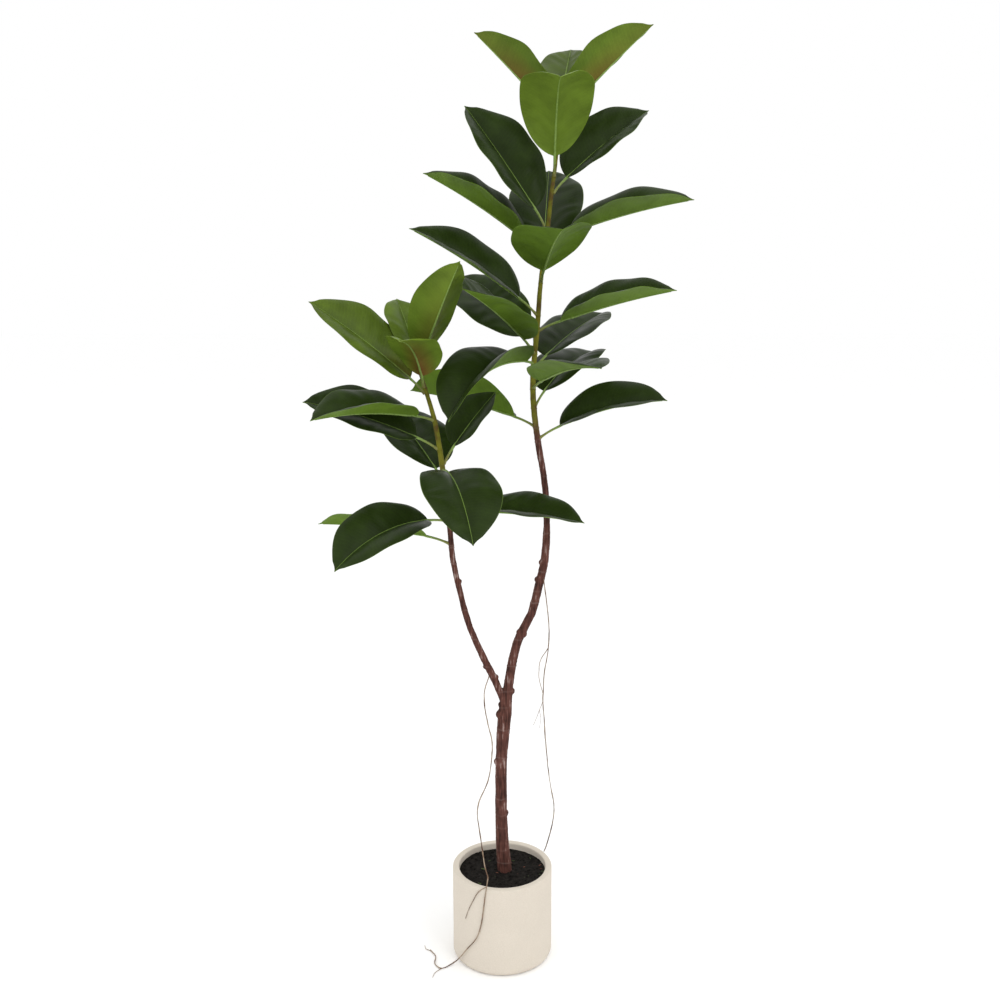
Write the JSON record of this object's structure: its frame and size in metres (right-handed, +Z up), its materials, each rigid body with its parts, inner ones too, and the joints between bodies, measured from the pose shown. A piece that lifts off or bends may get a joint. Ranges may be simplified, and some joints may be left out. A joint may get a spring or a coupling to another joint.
{
  "type": "potted rubber plant",
  "caption": "Tall rubber plant with a forked woody stem, large glossy oval leaves and trailing aerial roots, growing in soil in a round straight-sided clay pot.",
  "frame": {"origin": "centre of the pot's flat underside", "axes": "+Z up along the pot's axis; -Y towards the front, the side from which the short stem stands to the left of the tall one; +X to the right"},
  "size_m": [0.5938, 0.4208, 1.516],
  "materials": {
    "pot": "matte, fine-grained unglazed cream clay",
    "soil": "dark crumbly potting soil, dull",
    "stem": "red-brown bark with pale flecks, green near the top",
    "leaf": "dark green waxy gloss above, matte light green below",
    "young_leaf": "olive green waxy gloss with a red-brown tint at base and edge",
    "aerial_root": "thin dry brown root, dull"
  },
  "bodies": {
    "root": {"pot": "pot", "soil": "soil", "trunk": "stem", "short_stem_root": "aerial_root", "tall_stem_root": "aerial_root", "tall_stem_leaf_01": "leaf", "tall_stem_leaf_02": "leaf", "tall_stem_leaf_03": "leaf", "tall_stem_leaf_04": "leaf", "tall_stem_leaf_05": "leaf", "tall_stem_leaf_06": "leaf", "tall_stem_leaf_07": "leaf", "tall_stem_leaf_08": "leaf", "tall_stem_leaf_09": "leaf", "tall_stem_leaf_10": "leaf", "tall_stem_leaf_11": "leaf", "tall_stem_leaf_12": "leaf", "tall_stem_leaf_13": "leaf", "tall_stem_leaf_14": "leaf", "tall_stem_leaf_15": "leaf", "tall_stem_leaf_16": "leaf", "tall_stem_leaf_17": "young_leaf", "tall_stem_leaf_18": "young_leaf", "tall_stem_leaf_19": "young_leaf", "tall_stem_leaf_20": "young_leaf", "short_stem_leaf_01": "leaf", "short_stem_leaf_02": "leaf", "short_stem_leaf_03": "leaf", "short_stem_leaf_04": "leaf", "short_stem_leaf_05": "leaf", "short_stem_leaf_06": "leaf", "short_stem_leaf_07": "leaf", "short_stem_leaf_08": "leaf", "short_stem_leaf_09": "young_leaf", "short_stem_leaf_10": "young_leaf", "short_stem_leaf_11": "young_leaf", "short_stem_leaf_12": "young_leaf"}
  },
  "joints": []
}
